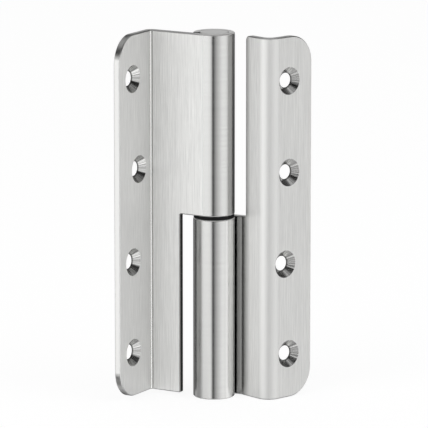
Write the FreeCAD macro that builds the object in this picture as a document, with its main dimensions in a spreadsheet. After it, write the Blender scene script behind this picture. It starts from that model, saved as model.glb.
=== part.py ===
import FreeCAD, Part
import math
import os
import Sketcher

# Driving sizes, millimetres and degrees
SIZES = [
    ("overall_height", 160.0, "foot of the lower knuckle to the top of the upper one"),
    ("knuckle_diameter", 18.0, "outside of both rolled knuckles"),
    ("sheet_thickness", 3.0, "sheet of both leaves"),
    ("ring_height", 1.5, "bearing ring between the knuckles"),
    ("ring_inset", 0.2, "bearing ring inside the knuckle's outline"),
    ("door_bend_radius", 0.8, "inside radius of the door leaf's bend between web and flap"),
    ("frame_bend_radius", 3.0, "inside radius of the frame leaf's bend between web and flap"),
    ("flap_reach", 35.0, "pin axis to the outer edge of both flaps, across the web"),
    ("door_reach", 26.2, "pin axis to the countersunk face of the door flap, along the web"),
    ("flap_gap", 2.0, "between the countersunk faces when closed"),
    ("web_gap", 0.5, "between the stacked webs when closed"),
    ("door_relief", 2.9, "door web stops this far from the lower knuckle"),
    ("frame_relief", 0.6, "frame web stops this far from the upper knuckle"),
    ("crank_reach", 7.4, "pin axis to the crank line of the frame leaf, along the web"),
    ("seam_gap", 0.8, "rolled end to the back of its own web"),
    ("corner_radius", 12.0, "outer corners of both flaps"),
    ("notch_radius", 2.0, "free corner of the frame web"),
    ("edge_break", 0.4, "bevel along the cut edges of the sheet"),
    ("hole_diameter", 6.4, "screw hole"),
    ("countersink_diameter", 12.0, "rim of the countersink"),
    ("countersink_angle", 90.0, "full angle of the countersink"),
    ("hole_pitch", 40.0, "from hole to hole along the height"),
    ("door_hole_edge", 11.0, "flap edge to the hole row, door leaf"),
    ("door_stagger", 5.0, "one door hole stands this much nearer the bend"),
    ("frame_hole_edge", 13.3, "flap edge to the hole row, frame leaf"),
    ("frame_stagger", 2.1, "one frame hole stands this much nearer the bend"),
    ("pin_engagement", 54.0, "length of the pin inside the upper knuckle"),
    ("pin_tip", 2.0, "lead-in cone on the pin"),
    ("pin_foot", 0.5, "edge break at the foot of the pin"),
    ("running_clearance", 0.05, "pin to the bores that turn on it, on the radius"),
    ("plug_length", 10.0, "plug in the top of the upper knuckle"),
    ("frame_turn", -90.0, "direction of the frame web about the pin axis"),
    ("open_angle", 162.5, "door leaf opened from the closed position"),
]
HOLES_PER_LEAF = 4

doc = FreeCAD.newDocument("LiftOffHinge")
sheet = doc.addObject("Spreadsheet::Sheet", "Sizes")
for row, (alias, size, meaning) in enumerate(SIZES, start=1):
    sheet.set(f"A{row}", meaning)
    sheet.set(f"B{row}", str(size))
    sheet.setAlias(f"B{row}", alias)
doc.recompute()

# Sizes that follow from the driving ones
OUTER_R = "(Sizes.knuckle_diameter / 2)"
BORE_R = f"({OUTER_R} - Sizes.sheet_thickness)"
RUN_R = f"({BORE_R} - Sizes.running_clearance)"
LEAF_H = "(Sizes.overall_height - Sizes.ring_height)"
KNUCKLE_H = f"({LEAF_H} / 2)"
UPPER_Z = f"({KNUCKLE_H} + Sizes.ring_height)"
PIN_TOP = f"({UPPER_Z} + Sizes.pin_engagement)"
PLUG_Z = "(Sizes.overall_height - Sizes.plug_length)"
# The rolled end is cut square, and its outer corner stops just short of the back of its own web
ROLL_END = f"asin(({BORE_R} - Sizes.seam_gap) / {OUTER_R})"

ORIGIN = FreeCAD.Vector(0, 0, 0)
Z_AXIS = FreeCAD.Vector(0, 0, 1)
NEAR = 1e-4
# cosine between two faces that still meet squarely
SQUARE = 0.09


def number(expression):
    """Value of an expression on the sheet's sizes."""
    return float(sheet.evalExpression(expression))


def new_body(label):
    body = doc.addObject("PartDesign::Body", label)
    body.Label = label
    return body


def new_sketch(body, name, role, offset=None):
    """Sketch on one of the body's own origin planes, moved along its normal."""
    plane = next(f for f in body.Origin.OriginFeatures if f.Role == role)
    sketch = body.newObject("Sketcher::SketchObject", name)
    sketch.AttachmentSupport = [(plane, "")]
    sketch.MapMode = "FlatFace"
    if offset is not None:
        sketch.setExpression("AttachmentOffset.Base.z", offset)
    return sketch


def constrain(sketch, kind, *places):
    return sketch.addConstraint(Sketcher.Constraint(kind, *places))


def dimension(sketch, kind, places, expression, name):
    """Dimension that follows an expression."""
    start = number(expression)
    if kind == "Angle":
        start = math.radians(start)
    index = constrain(sketch, kind, *places, start)
    sketch.renameConstraint(index, name)
    sketch.setExpression(f"Constraints.{name}", expression)


def place(sketch, axis, point, expression, name):
    """Hold a point at a distance from the sketch's origin, or on its axis where that is nought."""
    if abs(number(expression)) < NEAR:
        constrain(sketch, "PointOnObject", *point, -2 if axis == "X" else -1)
    else:
        dimension(sketch, f"Distance{axis}", (-1, 1, *point), expression, name)


def outline(sketch, corners):
    """Closed outline of straight edges through corners given as pairs of expressions."""
    points = [FreeCAD.Vector(number(x), number(y), 0) for x, y in corners]
    lines = []
    for start, end in zip(points, points[1:] + points[:1]):
        lines.append(sketch.addGeometry(Part.LineSegment(start, end), False))
    for line, following in zip(lines, lines[1:] + lines[:1]):
        constrain(sketch, "Coincident", line, 2, following, 1)
    for i, (x, y) in enumerate(corners):
        if i > 0 and corners[i - 1][0] == x:
            constrain(sketch, "Vertical", lines[i - 1])
        else:
            place(sketch, "X", (lines[i], 1), x, f"x{i}")
        if i > 0 and corners[i - 1][1] == y:
            constrain(sketch, "Horizontal", lines[i - 1])
        else:
            place(sketch, "Y", (lines[i], 1), y, f"y{i}")


def circle(sketch, x, y, radius, name):
    """Circle with its centre and radius given as expressions."""
    centre = FreeCAD.Vector(number(x), number(y), 0)
    ring = sketch.addGeometry(Part.Circle(centre, Z_AXIS, number(radius)), False)
    place(sketch, "X", (ring, 3), x, f"{name}_x")
    place(sketch, "Y", (ring, 3), y, f"{name}_y")
    dimension(sketch, "Radius", (ring,), radius, f"{name}_r")


def pad(body, sketch, name, length):
    feature = body.newObject("PartDesign::Pad", name)
    feature.Profile = sketch
    feature.setExpression("Length", length)
    doc.recompute()
    return feature


def edge_at(x=None, y=None, z=None):
    """Test for an edge whose ends all have the coordinates given as expressions."""
    given = {"x": x, "y": y, "z": z}
    wanted = [(axis, number(where)) for axis, where in given.items() if where is not None]

    def test(edge):
        ends = [vertex.Point for vertex in edge.Vertexes]
        return all(abs(getattr(end, axis) - value) < NEAR for end in ends for axis, value in wanted)
    return test


def dress_edges(body, kind, name, base, tests, sized, size):
    """Dress those edges of the feature so far that pass one of the tests."""
    edges = enumerate(base.Shape.Edges, start=1)
    names = [f"Edge{i}" for i, edge in edges if any(test(edge) for test in tests)]
    feature = body.newObject(f"PartDesign::{kind}", name)
    feature.Base = (base, names)
    feature.setExpression(sized, size)
    doc.recompute()
    return feature


def round_edges(body, name, base, tests, radius):
    return dress_edges(body, "Fillet", name, base, tests, "Radius", radius)


def break_edges(body, name, base, tests, width):
    return dress_edges(body, "Chamfer", name, base, tests, "Size", width)


def cut_edge_of(solid):
    """Test for the square edges left by cutting the sheet, apart from those of the bore."""
    bore = number(BORE_R)

    def in_bore(edge):
        return all(math.hypot(end.X, end.Y) < bore + NEAR for end in edge.Vertexes)

    def test(edge):
        faces = solid.ancestorsOfType(edge, Part.Face)
        if in_bore(edge) or len(faces) != 2:
            return False
        middle = edge.valueAt((edge.FirstParameter + edge.LastParameter) / 2)
        first, second = [face.normalAt(*face.Surface.parameter(middle)) for face in faces]
        return abs(first.dot(second)) < SQUARE
    return test


def plate_section(body, foot, web, flap, cut):
    """Angle section of web and flap, from the cut line of the web to the outer edge of the flap."""
    sketch = new_sketch(body, "PlateSection", "XY_Plane", foot)
    (web_face, web_back), (flap_near, flap_far) = web, flap
    outline(sketch, [
        (cut, web_face),
        (flap_far, web_face),
        (flap_far, "Sizes.flap_reach"),
        (flap_near, "Sizes.flap_reach"),
        (flap_near, web_back),
        (cut, web_back),
    ])
    return sketch


def knuckle_section(body, foot, web, cut, cranked):
    """Knuckle rolled from the end of the web, with that web as far as its cut line."""
    sketch = new_sketch(body, "KnuckleSection", "XY_Plane", foot)
    bore, outside = number(BORE_R), number(OUTER_R)
    face, back = number(web[0]), number(web[1])
    crank = number("Sizes.crank_reach")
    # slope of the sheet where it runs onto the roll
    slope = 0.0
    if cranked:
        slope = math.atan2(face, crank) + math.acos(bore / math.hypot(crank, face)) - math.pi / 2
    first = slope + math.pi / 2
    last = slope + 2 * math.pi + math.radians(number(ROLL_END))

    def polar(radius, angle):
        return FreeCAD.Vector(radius * math.cos(angle), radius * math.sin(angle), 0)

    def arc(radius):
        whole = Part.Circle(ORIGIN, Z_AXIS, radius)
        return sketch.addGeometry(Part.ArcOfCircle(whole, first, last), False)

    def line(start, end):
        return sketch.addGeometry(Part.LineSegment(start, end), False)

    cut_face = FreeCAD.Vector(number(cut), face, 0)
    cut_back = FreeCAD.Vector(number(cut), back, 0)
    inner, outer = arc(bore), arc(outside)
    roll_end = line(polar(bore, last), polar(outside, last))
    cut_line = line(cut_face, cut_back)
    if cranked:
        bend_face = FreeCAD.Vector(crank, face, 0)
        bend_back = FreeCAD.Vector(crank - (back - face) * math.tan(slope / 2), back, 0)
        run_in = line(polar(bore, first), bend_face)
        run_out = line(polar(outside, first), bend_back)
        web_face, web_back = line(bend_face, cut_face), line(bend_back, cut_back)
        constrain(sketch, "Coincident", run_in, 2, web_face, 1)
        constrain(sketch, "Coincident", run_out, 2, web_back, 1)
    else:
        run_in = web_face = line(polar(bore, first), cut_face)
        run_out = web_back = line(polar(outside, first), cut_back)

    for rolled, run, end in ((inner, run_in, 1), (outer, run_out, 2)):
        constrain(sketch, "Coincident", rolled, 3, -1, 1)
        constrain(sketch, "Tangent", rolled, 1, run, 1)
        constrain(sketch, "Coincident", rolled, 2, roll_end, end)
    for side, end in ((web_face, 1), (web_back, 2)):
        constrain(sketch, "Coincident", side, 2, cut_line, end)
        constrain(sketch, "Horizontal", side)
    constrain(sketch, "Vertical", cut_line)
    constrain(sketch, "PointOnObject", -1, 1, roll_end)
    dimension(sketch, "Radius", (inner,), BORE_R, "bore")
    dimension(sketch, "Radius", (outer,), OUTER_R, "outside")
    dimension(sketch, "Angle", (run_in, roll_end), ROLL_END, "roll_end")
    place(sketch, "X", (cut_line, 1), cut, "cut")
    if cranked:
        constrain(sketch, "Parallel", run_in, run_out)
        place(sketch, "X", (web_face, 1), "Sizes.crank_reach", "crank")
        place(sketch, "Y", (cut_line, 1), web[0], "face")
        place(sketch, "Y", (cut_line, 2), web[1], "back")
    return sketch


def screw_holes(body, foot, face, edge, stagger, staggered, into_far_side):
    """Row of countersunk holes down the flap, one of them set nearer the bend."""
    sketch = new_sketch(body, "HoleCentres", "YZ_Plane", face)
    for i in range(HOLES_PER_LEAF):
        across = f"Sizes.flap_reach - {edge}"
        if i == staggered:
            across = f"{across} - {stagger}"
        step = i - (HOLES_PER_LEAF - 1) / 2
        up = f"{foot} + {LEAF_H} / 2 + {step} * Sizes.hole_pitch"
        circle(sketch, across, up, "Sizes.hole_diameter / 2", f"hole{i}")
    doc.recompute()
    hole = body.newObject("PartDesign::Hole", "ScrewHoles")
    hole.Profile = sketch
    doc.recompute()
    hole.ThreadType = "None"
    hole.DepthType = "ThroughAll"
    hole.Reversed = into_far_side
    hole.HoleCutType = "Countersink"
    hole.HoleCutCustomValues = True
    hole.setExpression("Diameter", "Sizes.hole_diameter")
    hole.setExpression("HoleCutDiameter", "Sizes.countersink_diameter")
    hole.setExpression("HoleCutCountersinkAngle", "Sizes.countersink_angle")
    doc.recompute()


def leaf(label, foot, knuckle_foot, web_face, flap_near, bend, cut, cranked, turn):
    """Bent leaf: web along local x away from the pin axis, flap along local y, knuckle on the axis."""
    body = new_body(label)
    web = (web_face, f"({web_face} + Sizes.sheet_thickness)")
    flap = (flap_near, f"({flap_near} + Sizes.sheet_thickness)")
    top = f"({foot} + {LEAF_H})"
    plate = pad(body, plate_section(body, foot, web, flap, cut), "Plate", LEAF_H)
    inside = [edge_at(x=flap[0], y=web[1])]
    outside = [edge_at(x=flap[1], y=web[0])]
    corners = [edge_at(y="Sizes.flap_reach", z=foot), edge_at(y="Sizes.flap_reach", z=top)]
    plate = round_edges(body, "BendInside", plate, inside, bend)
    plate = round_edges(body, "BendOutside", plate, outside, f"{bend} + Sizes.sheet_thickness")
    plate = round_edges(body, "FlapCorners", plate, corners, "Sizes.corner_radius")
    if cranked:
        free_corner = [edge_at(x=cut, z=top)]
        round_edges(body, "NotchCorner", plate, free_corner, "Sizes.notch_radius")
    sheet_metal = pad(body, knuckle_section(body, knuckle_foot, web, cut, cranked), "Knuckle", KNUCKLE_H)
    break_edges(body, "EdgeBreak", sheet_metal, [cut_edge_of(sheet_metal.Shape)], "Sizes.edge_break")
    body.Placement.Rotation = FreeCAD.Rotation(Z_AXIS, number(turn))
    body.setExpression("Placement.Rotation.Angle", f"({turn}) * 1 deg")
    return body


# Frame leaf: lower knuckle, web cranked outwards so that it lies over the door web when closed
frame_leaf = leaf(
    "frame_leaf",
    foot="0",
    knuckle_foot="0",
    web_face=f"({OUTER_R} + Sizes.web_gap)",
    flap_near="(Sizes.door_reach - Sizes.flap_gap - Sizes.sheet_thickness)",
    bend="Sizes.frame_bend_radius",
    cut=f"({OUTER_R} + Sizes.frame_relief)",
    cranked=True,
    turn="Sizes.frame_turn",
)
screw_holes(
    frame_leaf,
    foot="0",
    face="Sizes.door_reach - Sizes.flap_gap",
    edge="Sizes.frame_hole_edge",
    stagger="Sizes.frame_stagger",
    staggered=1,
    into_far_side=False,
)

# Door leaf: upper knuckle, straight web that runs onto the roll
door_leaf = leaf(
    "door_leaf",
    foot="Sizes.ring_height",
    knuckle_foot=UPPER_Z,
    web_face=BORE_R,
    flap_near="Sizes.door_reach",
    bend="Sizes.door_bend_radius",
    cut=f"({OUTER_R} + Sizes.door_relief)",
    cranked=False,
    turn="Sizes.frame_turn - Sizes.open_angle",
)
screw_holes(
    door_leaf,
    foot="Sizes.ring_height",
    face="Sizes.door_reach",
    edge="Sizes.door_hole_edge",
    stagger="Sizes.door_stagger",
    staggered=2,
    into_far_side=True,
)

# Hinge pin: held in the lower knuckle, running in the ring and the upper knuckle
hinge_pin = new_body("hinge_pin")
pin_profile = new_sketch(hinge_pin, "PinProfile", "XZ_Plane")
outline(pin_profile, [
    ("0", "0"),
    (f"{BORE_R} - Sizes.pin_foot", "0"),
    (BORE_R, "Sizes.pin_foot"),
    (BORE_R, KNUCKLE_H),
    (RUN_R, KNUCKLE_H),
    (RUN_R, f"{PIN_TOP} - Sizes.pin_tip"),
    (f"{RUN_R} - Sizes.pin_tip", PIN_TOP),
    ("0", PIN_TOP),
])
pin_turn = hinge_pin.newObject("PartDesign::Revolution", "PinTurned")
pin_turn.Profile = pin_profile
pin_turn.ReferenceAxis = (pin_profile, ["V_Axis"])
pin_turn.Angle = 360

# Bearing ring: loose on the pin, between the two knuckles
bearing_ring = new_body("bearing_ring")
ring_section = new_sketch(bearing_ring, "RingSection", "XY_Plane", KNUCKLE_H)
circle(ring_section, "0", "0", f"{OUTER_R} - Sizes.ring_inset", "rim")
circle(ring_section, "0", "0", BORE_R, "bore")
pad(bearing_ring, ring_section, "Ring", "Sizes.ring_height")

# Top plug: closes the upper knuckle's bore, flush with its end
top_plug = new_body("top_plug")
plug_section = new_sketch(top_plug, "PlugSection", "XY_Plane", PLUG_Z)
circle(plug_section, "0", "0", BORE_R, "rim")
pad(top_plug, plug_section, "Plug", "Sizes.plug_length")

doc.recompute()

# Every feature has to be sound before anything is written
for item in doc.Objects:
    if "Invalid" in item.State or "Error" in item.State:
        raise RuntimeError(f"{item.Label} failed to build")
os.makedirs("parts", exist_ok=True)
for body in (frame_leaf, door_leaf, hinge_pin, bearing_ring, top_plug):
    shape = body.Shape
    if shape.isNull() or not shape.isValid() or len(shape.Solids) != 1:
        raise RuntimeError(f"{body.Label} is not one sound solid")
    print(f"{body.Label}: {shape.Volume:.1f} mm3")
    shape.exportStep(os.path.join("parts", f"{body.Label}.step"))
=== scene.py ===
import math
from typing import NamedTuple

import bpy
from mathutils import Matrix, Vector

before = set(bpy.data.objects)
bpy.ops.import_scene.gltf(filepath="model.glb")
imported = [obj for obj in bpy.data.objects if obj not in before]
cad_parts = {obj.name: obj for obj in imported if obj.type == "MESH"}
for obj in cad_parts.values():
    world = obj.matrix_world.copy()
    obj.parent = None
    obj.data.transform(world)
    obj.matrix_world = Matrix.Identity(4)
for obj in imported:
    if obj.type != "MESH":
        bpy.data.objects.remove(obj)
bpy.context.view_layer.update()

MM = 0.001
WHITE = (1.0, 1.0, 1.0, 1.0)
UPWARDS = (0.0, 0.0, 1.0)

# Camera: seen from the photograph's side, through a long lens
AZIMUTH = math.radians(-42.27)
ELEVATION = math.radians(11.3)
DISTANCE = 1.9
AIM_HEIGHT = 80.4 * MM
AIM = Vector((0.0, 0.0, AIM_HEIGHT))
IMAGE_PIXELS = 428
PIXELS_PER_MM = 2.315
SENSOR_WIDTH = 36.0
NEAREST_SEEN = 0.05
FARTHEST_SEEN = 50.0

# Sizes that both leaves share
KNUCKLE_RADIUS = 9.0 * MM
BORE_RADIUS = 6.0 * MM
SEAM_GAP = 0.8 * MM
FLAP_REACH = 35.0 * MM
EDGE_BREAK = 0.4 * MM
HOLE_PITCH = 40.0 * MM
HOLES_PER_LEAF = 4
HOLE_RADIUS = 3.2 * MM
SINK_RADIUS = 6.0 * MM
# angle about the pin axis at which the rolled sheet ends
ROLL_END = math.asin((BORE_RADIUS - SEAM_GAP) / KNUCKLE_RADIUS)


class Leaf(NamedTuple):
    """A leaf in its own directions: x along its web from the pin axis, y along its flap."""
    turn: float            # of these directions about the pin axis
    web_face: float        # y of the web's face on the pin's side
    bend_x: float          # where the web starts to bend
    bend_y: float          # where the bend ends in the flap
    flap_x: float          # where the flap's sheet begins
    crank_radius: float    # how far the crank reaches from the pin axis
    roll_slope: float      # of the sheet that the roll comes back to
    web_shade_fade: tuple        # stretch of x over which the painted shade at the web's end beside the knuckle fades out
    row_middle: float      # height of the middle of the row of holes
    hole_edge: float       # from the flap's outer edge to the row
    stagger: float         # how far one hole stands out of the row
    staggered: int         # that hole, counted from the foot and from 0
    web_shade_level: float       # brightness of the web, below 1 where it is darkened as painted shade
    bend_painted_light: tuple     # painted shade and highlight on the bend, from the web to the flap
    bend_rough: tuple      # roughness of the bend
    cut_painted_shade_levels: tuple      # brightness of the cut faces across the web and of the web's end beside the knuckle, kept dark as painted shade
    roll_painted_highlight: float          # painted highlight: added brightness where the roll runs on into the crank


FRAME_LEAF = Leaf(
    turn=math.radians(-90.0),
    web_face=9.5 * MM,
    bend_x=18.2 * MM,
    bend_y=15.5 * MM,
    flap_x=21.2 * MM,
    crank_radius=13.0 * MM,
    roll_slope=math.radians(22.2),
    web_shade_fade=(7.8 * MM, 12.5 * MM),
    row_middle=79.25 * MM,
    hole_edge=13.3 * MM,
    stagger=2.1 * MM,
    staggered=1,
    web_shade_level=0.93,
    bend_painted_light=(0.74, 0.64),
    bend_rough=(0.4, 0.44),
    cut_painted_shade_levels=(0.25, 0.31),
    roll_painted_highlight=0.8,
)
DOOR_LEAF = Leaf(
    turn=math.radians(-252.5),
    web_face=6.0 * MM,
    bend_x=25.4 * MM,
    bend_y=9.8 * MM,
    flap_x=26.2 * MM,
    crank_radius=KNUCKLE_RADIUS,
    roll_slope=0.0,
    web_shade_fade=(-2.5 * MM, 2.2 * MM),    # the painted shade lies under the finish of the roll, so it doesn't show
    row_middle=80.75 * MM,
    hole_edge=11.0 * MM,
    stagger=5.0 * MM,
    staggered=2,
    web_shade_level=1.0,
    bend_painted_light=(0.33, 0.95),
    bend_rough=(0.18, 0.22),
    cut_painted_shade_levels=(0.09, 0.13),
    roll_painted_highlight=0.0,
)

# Width over which one finish gives way to the next
FADE = 0.1 * MM
ROLL_FADE = 0.01 * MM
# Stretches over which a finish comes in or goes out
OUTER_EDGE = (FLAP_REACH - EDGE_BREAK, FLAP_REACH - 0.5 * EDGE_BREAK)    # of y
SEAM_ANGLES = (ROLL_END - 0.06, ROLL_END - 0.03)                         # about the pin axis
BORE_LINE = (HOLE_RADIUS + 0.15 * MM, HOLE_RADIUS + 0.5 * MM)            # from a hole's centre
ROLL_HIGHLIGHT_STRETCH = (0.84 * KNUCKLE_RADIUS, 1.06 * KNUCKLE_RADIUS)          # of x and y added, over which the roll's painted highlight comes in
CUT_BEFORE_BEND = (1.5 * MM, 1.0 * MM)                                   # of x, back from the bend
# Share of the crank's radius at which its painted shade is darkest
CRANK_START = 0.88
# Shares of a face's normal along one direction, between which the face turns from one kind to another
PIN_SIDE = (-0.3, -0.1)      # along y: looks to the pin's side, or away from it
SINK_WALL = (0.85, 0.95)     # along x: wall of a countersink, or flat face of the flap
CUT_FACE = (0.5, 0.8)        # along x: face of the web, or cut across it
BEND_TURN = (0.3, 0.9)       # along x: the bend's end at the web, or at the flap
LEVEL_FACE = (0.2, 0.5)      # along the height: upright, or level
FACED_TURN = (0.8, 0.98)     # along the height: bevel of a knuckle's end, or the end itself


class Finish(NamedTuple):
    """Brightness and roughness of a finish, each from one end of its marks to the other."""
    level: tuple
    rough: tuple


BRUSHED = Finish(level=(0.77, 1.0), rough=(0.54, 0.58))
GROUND = Finish(level=(0.495, 0.535), rough=(0.23, 0.27))
SHEARED = Finish(level=(0.6, 0.66), rough=(0.3, 0.33))
MACHINED = Finish(level=(0.32, 0.9), rough=(0.15, 0.28))
TURNED = Finish(level=(0.78, 0.82), rough=(0.29, 0.33))
CUT_ROUGH = (0.2, 0.26)
FACED_ROUGH = (0.7, 0.31)
FACED_LEVEL = 0.8
FLAP_LEVEL = 0.8
OUTER_EDGE_LEVEL = 0.67
# painted shade on the crank, from darkest beside the roll to none
CRANK_SHADE_LEVELS = (0.38, 1.0)
BORE_LINE_LEVEL = 0.25
# painted shade inside the slit at the roll's seam
SEAM_SHADE_LEVEL = 0.03
BEND_STROKES = (0.96, 1.04)
CLOUD_LEVELS = (0.992, 1.008)
STEEL_TINT = (1.0, 1.0, 0.985)
RING_DARK = (0.004, 0.004, 0.0045, 1.0)
RING_LIGHT = (0.012, 0.012, 0.0125, 1.0)
RING_ROUGH = (0.5, 0.65)
RING_SHEEN = 0.2

# Noise per metre along x, y and the height, for the marks of each finish
STROKES = (4200.0, 4200.0, 60.0)
HAIRS = (9000.0, 9000.0, 220.0)
RINGS = (60.0, 60.0, 2600.0)
SHEAR = (150.0, 2200.0, 2200.0)
CLOUDS = (45.0, 45.0, 20.0)
MOULD_GRAIN = (3500.0, 3500.0, 3500.0)
# along the radius and the height of a turned piece
LATHE_RINGS = (3500.0, 3500.0, 1.0)
# and round the axis of a countersink
SPOKES = (5.5, 5.5, 1.0)
SHARE_OF_HAIRS = 0.35
# Ends between which most of a noise lies
NOISE_RANGE = (0.3, 0.7)
GRAIN_RANGE = (0.32, 0.68)
SPOKE_RANGE = (0.35, 0.65)

# Relief of the marks: strength on the sheet and on the knuckle, on turned pieces and on the ring
SHEET_RELIEF = (0.012, 0.02)
TURNED_RELIEF = 0.05
MOULDED_RELIEF = 0.15
STEEL_DEPTH = 0.05 * MM
MOULDED_DEPTH = 0.04 * MM
EDGE_ROUNDING = 0.2 * MM
ROUNDING_SAMPLES = 4
# How far the marks draw the highlights out
STRETCH = 0.8
# Small addition that keeps a direction on faces that look straight up or down
NUDGE = (0.001, 0.0, 0.0)

# Light tent that the metal mirrors: brightness by bearing from the camera, to the right where positive
TENT_RADIUS = 0.6
TENT_SIDES = 72
ALL_ROUND = (-180.0, 180.0)
TENT_ROUND = [
    (-180.0, 0.8),
    (-130.0, 0.7),
    (-125.0, 0.64),
    (-88.0, 0.64),
    (-78.0, 0.84),
    (-69.0, 1.25),
    (-60.0, 1.64),
    (-38.0, 1.7),
    (-24.0, 1.5),
    (-14.0, 1.15),
    (-8.5, 0.06),
    (-2.0, 0.04),
    (2.0, 0.36),
    (13.0, 0.73),
    (24.0, 0.99),
    (36.0, 1.25),
    (48.0, 1.47),
    (66.0, 1.42),
    (76.0, 1.25),
    (88.0, 0.95),
    (104.0, 0.65),
    (130.0, 0.55),
    (135.0, 0.8),
    (180.0, 0.8),
]
# and by elevation
TENT_UPRIGHT = [(-55.0, 0.75), (-48.0, 1.0), (22.0, 1.0), (28.0, 0.03), (48.0, 0.03), (55.0, 0.4)]
TENT_ROOF = 0.58
# bottom, from its middle outwards as a share of its width
TENT_BOTTOM = [(0.0, 0.3), (0.26, 0.3), (0.4, 0.8)]
MIDDLE_OF_PIECE = (0.5, 0.5, 0.0)
# dark flag low on the left, which shades the foot of the webs and of the flap's outer edge
FLAG_ROUND = [(-40.0, 1.0), (-20.0, 0.0)]
FLAG_UPRIGHT = [(-55.0, 0.97), (-30.0, 0.97), (-21.0, 0.0)]
# dark screen behind the part, which gives its edges their dark lines
SCREEN_RADIUS = 0.55
SCREEN_ROUND = [
    (114.0, 0.61),
    (128.0, 0.06),
    (148.0, 0.04),
    (163.0, 0.4),
    (180.0, 0.4),
    (194.0, 0.06),
    (212.0, 0.06),
    (228.0, 0.5),
    (246.0, 0.75),
]
SCREEN_TOP = 3.0

# Floor, and the light of the world on it
FLOOR_HALF = 6.0
FLOOR_GLOW = 0.86
FLOOR_MATT = (0.25, 0.25, 0.25, 1.0)
WORLD_LIGHT = 0.45

Socket = bpy.types.NodeSocket
# numbers of the two inputs and the output that a blend of each kind of value uses
BLEND_SOCKETS = {"FLOAT": (2, 3, 0), "VECTOR": (4, 5, 1), "RGBA": (6, 7, 2)}


class Nodes:
    """Shorthand for building one node tree."""

    def __init__(self, tree):
        self.tree = tree
        tree.nodes.clear()

    def add(self, kind, settings=None, **sockets):
        node = self.tree.nodes.new(kind)
        for name, value in (settings or {}).items():
            setattr(node, name, value)
        for name, value in sockets.items():
            self.feed(node, name.replace("_", " "), value)
        return node

    def feed(self, node, socket, value):
        """Set a socket, by name or number, or link it where the value is another node's output."""
        target = node.inputs[socket]
        if isinstance(value, Socket):
            self.tree.links.new(value, target)
        else:
            target.default_value = value

    def feed_all(self, node, values):
        for number, value in enumerate(values):
            self.feed(node, number, value)

    def scalar(self, operation, *values):
        node = self.add("ShaderNodeMath", {"operation": operation})
        self.feed_all(node, values)
        return node.outputs[0]

    def vector(self, operation, *values):
        node = self.add("ShaderNodeVectorMath", {"operation": operation})
        self.feed_all(node, values)
        return node.outputs["Value" if operation == "LENGTH" else "Vector"]

    def product(self, first, *others):
        result = first
        for other in others:
            result = self.scalar("MULTIPLY", result, other)
        return result

    def greater(self, first, second):
        return self.scalar("MAXIMUM", first, second)

    def turned(self, vector, angle):
        """Vector turned about the height."""
        node = self.add("ShaderNodeVectorRotate", {"rotation_type": "Z_AXIS"}, Vector=vector, Angle=angle)
        return node.outputs[0]

    def split(self, vector):
        return self.add("ShaderNodeSeparateXYZ", Vector=vector).outputs

    def join(self, x, y, z=0.0):
        return self.add("ShaderNodeCombineXYZ", X=x, Y=y, Z=z).outputs[0]

    def from_axis(self, place):
        """Distance of a place from the pin axis."""
        return self.vector("LENGTH", self.vector("MULTIPLY", place, (1.0, 1.0, 0.0)))

    def spread(self, value, low, high, to_low, to_high):
        """Map a value from one range to another, held at the ends."""
        node = self.add("ShaderNodeMapRange")
        self.feed_all(node, (value, low, high, to_low, to_high))
        return node.outputs[0]

    def rise(self, value, low, high):
        """0 up to the low value and 1 from the high value on."""
        return self.spread(value, low, high, 0.0, 1.0)

    def fall(self, value, low, high):
        """1 up to the low value and 0 from the high value on."""
        return self.spread(value, low, high, 1.0, 0.0)

    def varied(self, noise, low, high):
        """From one value to another with a noise."""
        return self.spread(noise, *NOISE_RANGE, low, high)

    def blend(self, amount, first, second, kind="FLOAT"):
        """Go from the first value to the second by an amount from 0 to 1."""
        node = self.add("ShaderNodeMix", {"data_type": kind})
        first_input, second_input, output = BLEND_SOCKETS[kind]
        self.feed(node, 0, amount)
        self.feed(node, first_input, first)
        self.feed(node, second_input, second)
        return node.outputs[output]

    def grey(self, level):
        """Steel's slightly warm grey at a level of brightness."""
        return self.vector("MULTIPLY", self.join(level, level, level), STEEL_TINT)

    def noise(self, place, stretch, detail=2.0, roughness=0.55):
        """Noise about a place, drawn out along the directions that are stretched less."""
        place = self.vector("MULTIPLY", place, stretch)
        node = self.add("ShaderNodeTexNoise", Vector=place, Scale=1.0, Detail=detail, Roughness=roughness)
        return node.outputs[0]

    def ramp(self, value, stops):
        """Brightness along a value, from stops of place and level."""
        node = self.add("ShaderNodeValToRGB", Fac=value)
        elements = node.color_ramp.elements
        while len(elements) < len(stops):
            elements.new(1.0)
        for element, (place, level) in zip(elements, stops):
            element.position = place
            element.color = (level, level, level, 1.0)
        return node.outputs[0]


def new_material(name):
    """Material and the shorthand for its nodes."""
    material = bpy.data.materials.new(name)
    material.use_nodes = True
    return material, Nodes(material.node_tree)


def surface(nodes, shader):
    """Make a shader the whole surface of its material."""
    output = nodes.add("ShaderNodeOutputMaterial")
    nodes.feed(output, "Surface", shader.outputs[0])


class Spot(NamedTuple):
    """Where a point of a leaf lies and how its face looks, in the leaf's own directions."""
    place: Socket
    x: Socket
    y: Socket
    radius: Socket        # distance from the pin axis
    normal_y: Socket      # the normal's share along y, with its sign
    facing: tuple         # the normal's shares along x, y and the height, without signs
    hole: Socket          # place across and along the height from the nearest hole's centre
    from_hole: Socket     # distance from that centre


class Zones(NamedTuple):
    """How much of each finish, and of painted shade and highlight, a point has, from 0 to 1."""
    roll: Socket
    knuckle: Socket
    faced: Socket
    seam: Socket
    flap: Socket
    bend: Socket
    sink: Socket
    cut: Socket
    edge: Socket
    outer_edge: Socket


class Marks(NamedTuple):
    """Noises drawn out along the marks of each finish."""
    brushed: Socket
    rings: Socket
    spokes: Socket
    shear: Socket
    clouds: Socket
    grain: Socket


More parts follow.
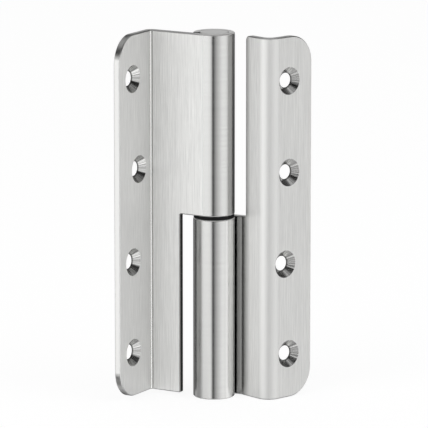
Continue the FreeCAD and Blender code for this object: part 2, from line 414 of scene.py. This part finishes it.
def nearest_hole(nodes, place, leaf):
    """Place across and along the height from the centre of the nearest screw hole."""
    _, across, height = nodes.split(place)
    foot = leaf.row_middle - HOLES_PER_LEAF / 2 * HOLE_PITCH
    step = nodes.scalar("DIVIDE", nodes.scalar("SUBTRACT", height, foot), HOLE_PITCH)
    along = nodes.product(nodes.scalar("SUBTRACT", nodes.scalar("FRACT", step), 0.5), HOLE_PITCH)
    moved = nodes.scalar("COMPARE", nodes.scalar("FLOOR", step), float(leaf.staggered), 0.5)
    row = nodes.scalar("SUBTRACT", across, FLAP_REACH - leaf.hole_edge)
    return nodes.join(nodes.scalar("MULTIPLY_ADD", moved, leaf.stagger, row), along)


def roll_opening(nodes, place, leaf):
    """1 in the wedge between the square end of the roll and the sheet that it comes back to."""
    along, across, _ = nodes.split(nodes.turned(place, -leaf.roll_slope))
    past_end = nodes.rise(nodes.scalar("ARCTAN2", across, along), *SEAM_ANGLES)
    before_sheet = nodes.fall(across, BORE_RADIUS, BORE_RADIUS + FADE)
    this_side = nodes.scalar("GREATER_THAN", along, 0.0)
    return nodes.product(this_side, past_end, before_sheet)


def leaf_spot(nodes, leaf):
    """Place and normal of the shaded point, turned into the leaf's own directions."""
    coords = nodes.add("ShaderNodeTexCoord").outputs
    place = nodes.turned(coords["Object"], -leaf.turn)
    normal = nodes.turned(coords["Normal"], -leaf.turn)
    x, y, _ = nodes.split(place)
    hole = nearest_hole(nodes, place, leaf)
    return Spot(
        place=place,
        x=x,
        y=y,
        radius=nodes.from_axis(place),
        normal_y=nodes.split(normal)[1],
        facing=tuple(nodes.split(nodes.vector("ABSOLUTE", normal))),
        hole=hole,
        from_hole=nodes.vector("LENGTH", hole),
    )


def leaf_zones(nodes, leaf, spot):
    """Where each finish lies on a leaf, and where shade and highlights are painted."""
    facing_x, _, facing_up = spot.facing
    roll = nodes.fall(spot.radius, KNUCKLE_RADIUS, KNUCKLE_RADIUS + ROLL_FADE)
    crank = nodes.product(
        nodes.fall(spot.radius, leaf.crank_radius, leaf.crank_radius + 3 * FADE),
        nodes.fall(spot.normal_y, *PIN_SIDE),
    )
    bend = nodes.product(
        nodes.rise(spot.x, leaf.bend_x - 2 * FADE, leaf.bend_x),
        nodes.fall(spot.y, leaf.bend_y, leaf.bend_y + 2 * FADE),
    )
    # the slanting wall of a countersink, without the flat faces round it
    sink = nodes.product(
        nodes.fall(spot.from_hole, SINK_RADIUS, SINK_RADIUS + FADE),
        nodes.rise(spot.x, leaf.flap_x - FADE, leaf.flap_x),
        nodes.fall(facing_x, *SINK_WALL),
    )
    # the cut faces that look along the web, and the end of the web's face beside the knuckle, both darkened
    # as painted shade
    cut_across = nodes.product(
        nodes.rise(facing_x, *CUT_FACE),
        nodes.fall(spot.x, leaf.bend_x - CUT_BEFORE_BEND[0], leaf.bend_x - CUT_BEFORE_BEND[1]),
    )
    web_end_painted_shade = nodes.product(
        nodes.fall(spot.x, *leaf.web_shade_fade),
        nodes.fall(spot.y, leaf.web_face + FADE, leaf.web_face + 3 * FADE),
    )
    outer_edge = nodes.rise(spot.y, *OUTER_EDGE)
    level_edge = nodes.rise(facing_up, *LEVEL_FACE)
    not_sink = nodes.scalar("SUBTRACT", 1.0, sink)
    return Zones(
        roll=roll,
        knuckle=nodes.greater(roll, crank),
        faced=nodes.product(level_edge, roll),
        seam=nodes.product(roll, roll_opening(nodes, spot.place, leaf)),
        flap=nodes.rise(spot.y, leaf.bend_y, leaf.bend_y + 2 * FADE),
        bend=bend,
        sink=sink,
        cut=nodes.greater(cut_across, web_end_painted_shade),
        edge=nodes.product(nodes.greater(level_edge, outer_edge), not_sink),
        outer_edge=outer_edge,
    )


def leaf_marks(nodes, spot, zones):
    """Brush strokes along the height, rings round the knuckle, spokes in the countersinks, shear marks."""
    strokes = nodes.noise(spot.place, STROKES)
    hairs = nodes.noise(spot.place, HAIRS)
    brushed = nodes.blend(SHARE_OF_HAIRS, strokes, hairs)
    rings = nodes.noise(spot.place, RINGS)
    spokes = nodes.noise(nodes.vector("NORMALIZE", spot.hole), SPOKES, detail=3.0, roughness=0.7)
    grain = nodes.blend(zones.knuckle, brushed, rings)
    return Marks(
        brushed=brushed,
        rings=rings,
        spokes=spokes,
        shear=nodes.noise(spot.place, SHEAR),
        clouds=nodes.noise(spot.place, CLOUDS),
        grain=nodes.blend(zones.sink, grain, spokes),
    )


def knuckle_level(nodes, leaf, spot, zones, marks):
    """Brightness of the roll and of the crank beside it, with painted shade in the crank's crevice and a
    painted highlight where the roll runs on into the crank.
    """
    towards_crank = nodes.scalar("ADD", spot.x, spot.y)
    # painted highlight on the roll where it runs on into the crank
    roll_level = nodes.spread(towards_crank, *ROLL_HIGHLIGHT_STRETCH, 1.0, 1.0 + leaf.roll_painted_highlight)
    crank_start = CRANK_START * leaf.crank_radius
    # painted shade in the crevice where the crank meets the roll
    crank_shade_level = nodes.spread(spot.radius, crank_start, leaf.crank_radius, *CRANK_SHADE_LEVELS)
    return nodes.product(
        nodes.blend(zones.roll, crank_shade_level, roll_level),
        nodes.varied(marks.rings, *GROUND.level),
    )


def leaf_level(nodes, leaf, spot, zones, marks):
    """Brightness of a leaf, finish by finish, with painted shade and highlights."""
    # brush strokes, times the web's level with its painted shade, or the flap's level
    level = nodes.product(
        nodes.spread(marks.grain, *GRAIN_RANGE, *BRUSHED.level),
        nodes.blend(zones.flap, leaf.web_shade_level, FLAP_LEVEL),
    )
    # painted shade and highlight across the bend, by which way its face looks, with brush strokes
    bend_painted_level = nodes.product(
        nodes.spread(spot.facing[0], *BEND_TURN, *leaf.bend_painted_light),
        nodes.varied(marks.brushed, *BEND_STROKES),
    )
    level = nodes.blend(zones.bend, level, bend_painted_level)
    # painted shade on the cut faces and on the web's end beside the knuckle
    level = nodes.blend(zones.cut, level, nodes.varied(marks.shear, *leaf.cut_painted_shade_levels))
    level = nodes.blend(zones.knuckle, level, knuckle_level(nodes, leaf, spot, zones, marks))
    edge_level = nodes.blend(zones.outer_edge, nodes.varied(marks.shear, *SHEARED.level), OUTER_EDGE_LEVEL)
    level = nodes.blend(zones.edge, level, edge_level)
    level = nodes.blend(zones.faced, level, FACED_LEVEL)
    # painted shade in the slit between the roll's end and the sheet
    level = nodes.blend(zones.seam, level, SEAM_SHADE_LEVEL)
    # spokes, and a dark line round the hole at their foot
    sink_level = nodes.product(
        nodes.spread(spot.from_hole, *BORE_LINE, BORE_LINE_LEVEL, 1.0),
        nodes.spread(marks.spokes, *SPOKE_RANGE, *MACHINED.level),
    )
    level = nodes.blend(zones.sink, level, sink_level)
    return nodes.product(level, nodes.varied(marks.clouds, *CLOUD_LEVELS))


def leaf_roughness(nodes, leaf, spot, zones, marks):
    """Roughness of a leaf, finish by finish."""
    rough = nodes.varied(marks.clouds, *BRUSHED.rough)
    rough = nodes.blend(zones.bend, rough, nodes.varied(marks.brushed, *leaf.bend_rough))
    rough = nodes.blend(zones.cut, rough, nodes.varied(marks.shear, *CUT_ROUGH))
    rough = nodes.blend(zones.knuckle, rough, nodes.varied(marks.rings, *GROUND.rough))
    rough = nodes.blend(zones.edge, rough, nodes.varied(marks.shear, *SHEARED.rough))
    rough = nodes.blend(zones.faced, rough, nodes.spread(spot.facing[2], *FACED_TURN, *FACED_ROUGH))
    return nodes.blend(zones.sink, rough, nodes.varied(marks.spokes, *MACHINED.rough))


def leaf_normal(nodes, zones, marks):
    """Fine relief of the marks, and edges that are rounded a little."""
    rounded = nodes.add("ShaderNodeBevel", {"samples": ROUNDING_SAMPLES}, Radius=EDGE_ROUNDING)
    bump = nodes.add(
        "ShaderNodeBump",
        Strength=nodes.blend(zones.knuckle, *SHEET_RELIEF),
        Distance=STEEL_DEPTH,
        Height=marks.grain,
        Normal=rounded.outputs[0],
    )
    return bump.outputs[0]


def leaf_tangent(nodes, zones):
    """Direction across the marks: level on the sheet, upright on the knuckle."""
    normal = nodes.add("ShaderNodeNewGeometry").outputs["Normal"]
    sideways = nodes.vector("ADD", nodes.vector("CROSS_PRODUCT", UPWARDS, normal), NUDGE)
    on_knuckle = nodes.scalar("GREATER_THAN", zones.knuckle, 0.5)
    return nodes.blend(on_knuckle, sideways, UPWARDS, "VECTOR")


def leaf_steel(name, leaf):
    """Stainless sheet: brushed along the height, ground around the knuckle, machined in the countersinks."""
    material, nodes = new_material(name)
    spot = leaf_spot(nodes, leaf)
    zones = leaf_zones(nodes, leaf, spot)
    marks = leaf_marks(nodes, spot, zones)
    shader = nodes.add(
        "ShaderNodeBsdfPrincipled",
        Base_Color=nodes.grey(leaf_level(nodes, leaf, spot, zones, marks)),
        Metallic=1.0,
        Roughness=leaf_roughness(nodes, leaf, spot, zones, marks),
        Anisotropic=nodes.blend(zones.faced, STRETCH, 0.0),
        Tangent=leaf_tangent(nodes, zones),
        Normal=leaf_normal(nodes, zones, marks),
    )
    surface(nodes, shader)
    return material


def turned_steel():
    """Steel turned on a lathe: fine rings about the pin axis."""
    material, nodes = new_material("turned_steel")
    place = nodes.add("ShaderNodeTexCoord").outputs["Object"]
    height = nodes.split(place)[2]
    rings = nodes.noise(nodes.join(nodes.from_axis(place), height), LATHE_RINGS, detail=3.0)
    bump = nodes.add("ShaderNodeBump", Strength=TURNED_RELIEF, Distance=STEEL_DEPTH, Height=rings)
    shader = nodes.add(
        "ShaderNodeBsdfPrincipled",
        Base_Color=nodes.grey(nodes.varied(rings, *TURNED.level)),
        Metallic=1.0,
        Roughness=nodes.varied(rings, *TURNED.rough),
        Normal=bump.outputs[0],
    )
    surface(nodes, shader)
    return material


def ring_polymer():
    """Black bearing plastic with a fine moulded grain."""
    material, nodes = new_material("ring_polymer")
    place = nodes.add("ShaderNodeTexCoord").outputs["Object"]
    grain = nodes.noise(place, MOULD_GRAIN, detail=4.0)
    bump = nodes.add("ShaderNodeBump", Strength=MOULDED_RELIEF, Distance=MOULDED_DEPTH, Height=grain)
    shader = nodes.add(
        "ShaderNodeBsdfPrincipled",
        Base_Color=nodes.blend(nodes.rise(grain, *NOISE_RANGE), RING_DARK, RING_LIGHT, "RGBA"),
        Roughness=nodes.varied(grain, *RING_ROUGH),
        Specular_IOR_Level=RING_SHEEN,
        Normal=bump.outputs[0],
    )
    surface(nodes, shader)
    return material


def seen_directly(nodes):
    """1 for rays that show the background itself: straight, mirrored or through glass."""
    path = nodes.add("ShaderNodeLightPath").outputs
    seen = nodes.greater(path["Is Camera Ray"], path["Is Glossy Ray"])
    return nodes.greater(seen, path["Is Transmission Ray"])


def white_world():
    """World that is white where it is seen and dimmer as a light."""
    world = bpy.data.worlds.new("studio")
    bpy.context.scene.world = world
    world.use_nodes = True
    nodes = Nodes(world.node_tree)
    strength = nodes.blend(seen_directly(nodes), WORLD_LIGHT, 1.0)
    background = nodes.add("ShaderNodeBackground", Color=WHITE, Strength=strength)
    output = nodes.add("ShaderNodeOutputWorld")
    nodes.feed(output, "Surface", background.outputs[0])


def stage_piece(name, corners, faces, places, material):
    """Piece of the stage from corners, faces and the place of each face's corners on the material."""
    mesh = bpy.data.meshes.new(name)
    mesh.from_pydata(corners, [], faces)
    layer = mesh.uv_layers.new(name="UVMap")
    for loop, place in zip(layer.data, places):
        loop.uv = place
    mesh.materials.append(material)
    piece = bpy.data.objects.new(name, mesh)
    bpy.context.scene.collection.objects.link(piece)
    return piece


def level_square(name, half, height, material):
    """Level piece of the stage with the pin axis through its middle."""
    corners = [(-half, -half, height), (half, -half, height), (half, half, height), (-half, half, height)]
    return stage_piece(name, corners, [(0, 1, 2, 3)], [(0, 0), (1, 0), (1, 1), (0, 1)], material)


def white_floor():
    """Floor that is white where it is seen and still takes the part's shadow."""
    material, nodes = new_material("floor_white")
    strength = nodes.product(seen_directly(nodes), FLOOR_GLOW)
    glow = nodes.add("ShaderNodeEmission", Color=WHITE, Strength=strength)
    matt = nodes.add("ShaderNodeBsdfDiffuse", Color=FLOOR_MATT)
    both = nodes.add("ShaderNodeAddShader")
    nodes.feed_all(both, (glow.outputs[0], matt.outputs[0]))
    surface(nodes, both)
    level_square("floor", FLOOR_HALF, 0.0, material).visible_glossy = False


def around(bearing, distance, height):
    """Point at a bearing in degrees from the camera's side, to the right of it where positive."""
    turn = AZIMUTH + math.radians(bearing)
    return Vector((math.sin(turn) * distance, -math.cos(turn) * distance, height))


def height_at(radius, elevation):
    """Height at a distance from the pin axis that has an elevation in degrees from the part's middle."""
    return AIM_HEIGHT + radius * math.tan(math.radians(elevation))


def round_wall(name, radius, bearings, heights, material):
    """Upright wall about the part, from one bearing and height to another."""
    corners, faces, places = [], [], []
    for side in range(TENT_SIDES):
        start, end = side / TENT_SIDES, (side + 1) / TENT_SIDES
        square = [(start, 0.0), (end, 0.0), (end, 1.0), (start, 1.0)]
        faces.append(tuple(range(len(corners), len(corners) + 4)))
        for across, up in square:
            bearing = bearings[0] + across * (bearings[1] - bearings[0])
            corners.append(around(bearing, radius, heights[0] + up * (heights[1] - heights[0])))
        places += square
    return stage_piece(name, corners, faces, places, material)


def place_on_piece(nodes):
    """Place on a piece of the stage, from 0 to 1 each way."""
    return nodes.add("ShaderNodeUVMap").outputs[0]


def as_shares(stops, low, high):
    """Stops with their places as shares of a range."""
    return [((place - low) / (high - low), level) for place, level in stops]


def give_light(nodes, strength):
    """Make white light the whole surface of a material."""
    surface(nodes, nodes.add("ShaderNodeEmission", Color=WHITE, Strength=strength))


def wall_level(nodes, across, up, heights, bearing_stops, elevation_stops):
    """Brightness on the tent's wall, by bearing times by elevation."""
    height_stops = [(height_at(TENT_RADIUS, elevation), level) for elevation, level in elevation_stops]
    by_bearing = nodes.ramp(across, as_shares(bearing_stops, *ALL_ROUND))
    by_height = nodes.ramp(up, as_shares(height_stops, *heights))
    return nodes.product(by_bearing, by_height)


def tent_wall(heights):
    """Wall all round the part, with the flag on it."""
    material, nodes = new_material("tent_wall")
    across, up, _ = nodes.split(place_on_piece(nodes))
    light = wall_level(nodes, across, up, heights, TENT_ROUND, TENT_UPRIGHT)
    flag = wall_level(nodes, across, up, heights, FLAG_ROUND, FLAG_UPRIGHT)
    give_light(nodes, nodes.product(light, nodes.scalar("SUBTRACT", 1.0, flag)))
    return round_wall("tent_wall", TENT_RADIUS, ALL_ROUND, heights, material)


def tent_screen(low):
    """Screen behind the part, with soft ends."""
    bearings = (SCREEN_ROUND[0][0], SCREEN_ROUND[-1][0])
    material, nodes = new_material("tent_screen")
    across = nodes.split(place_on_piece(nodes))[0]
    give_light(nodes, nodes.ramp(across, as_shares(SCREEN_ROUND, *bearings)))
    heights = (low, height_at(SCREEN_RADIUS, SCREEN_TOP))
    return round_wall("tent_screen", SCREEN_RADIUS, bearings, heights, material)


def tent_roof(high):
    """Evenly lit roof."""
    material, nodes = new_material("tent_roof")
    give_light(nodes, TENT_ROOF)
    return level_square("tent_roof", TENT_RADIUS, high, material)


def tent_bottom(low):
    """Bottom that is dark in its middle."""
    material, nodes = new_material("tent_bottom")
    from_middle = nodes.vector("SUBTRACT", place_on_piece(nodes), MIDDLE_OF_PIECE)
    give_light(nodes, nodes.ramp(nodes.vector("LENGTH", from_middle), TENT_BOTTOM))
    return level_square("tent_bottom", TENT_RADIUS, low, material)


def only_mirrored(piece):
    """Leave a piece of the stage to the metal's reflections."""
    piece.visible_camera = False
    piece.visible_diffuse = False
    piece.visible_shadow = False
    piece.visible_transmission = False
    piece.visible_volume_scatter = False


def light_tent():
    """Round tent about the part that only the metal shows."""
    low = height_at(TENT_RADIUS, TENT_UPRIGHT[0][0])
    high = height_at(TENT_RADIUS, TENT_UPRIGHT[-1][0])
    only_mirrored(tent_wall((low, high)))
    only_mirrored(tent_screen(low))
    only_mirrored(tent_roof(high))
    only_mirrored(tent_bottom(low))


def look_at_part(item):
    """Turn a lamp or the camera to the part's middle."""
    item.rotation_mode = "QUATERNION"
    item.rotation_quaternion = (AIM - item.location).to_track_quat("-Z", "Y")


def soft_light(name, bearing, distance, height, size, radiance):
    """Square softbox for the floor and the ring, which the metal doesn't mirror."""
    light = bpy.data.lights.new(name, "AREA")
    light.shape = "SQUARE"
    light.size = size
    light.energy = radiance * math.pi * size * size
    lamp = bpy.data.objects.new(name, light)
    bpy.context.scene.collection.objects.link(lamp)
    lamp.location = around(bearing, distance, height)
    look_at_part(lamp)
    lamp.visible_camera = False
    lamp.visible_glossy = False


def camera():
    """Camera that sees the part as the photograph does."""
    data = bpy.data.cameras.new("camera")
    data.sensor_width = SENSOR_WIDTH
    data.lens = PIXELS_PER_MM / MM * DISTANCE * SENSOR_WIDTH / IMAGE_PIXELS
    data.clip_start = NEAREST_SEEN
    data.clip_end = FARTHEST_SEEN
    item = bpy.data.objects.new("camera", data)
    bpy.context.scene.collection.objects.link(item)
    height = AIM_HEIGHT + DISTANCE * math.sin(ELEVATION)
    item.location = around(0.0, DISTANCE * math.cos(ELEVATION), height)
    look_at_part(item)
    bpy.context.scene.camera = item


def dress(names, material):
    """Give the named pieces a material."""
    for name in names:
        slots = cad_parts[name].data.materials
        slots.clear()
        slots.append(material)


dress(["frame_leaf"], leaf_steel("frame_leaf_steel", FRAME_LEAF))
dress(["door_leaf"], leaf_steel("door_leaf_steel", DOOR_LEAF))
dress(["hinge_pin", "top_plug"], turned_steel())
dress(["bearing_ring"], ring_polymer())

white_world()
white_floor()
light_tent()
soft_light("left_softbox", bearing=-50.0, distance=1.6, height=1.2, size=1.2, radiance=1.0)
soft_light("right_softbox", bearing=60.0, distance=1.6, height=1.0, size=1.2, radiance=0.8)
camera()

bpy.context.scene.view_settings.view_transform = "Standard"
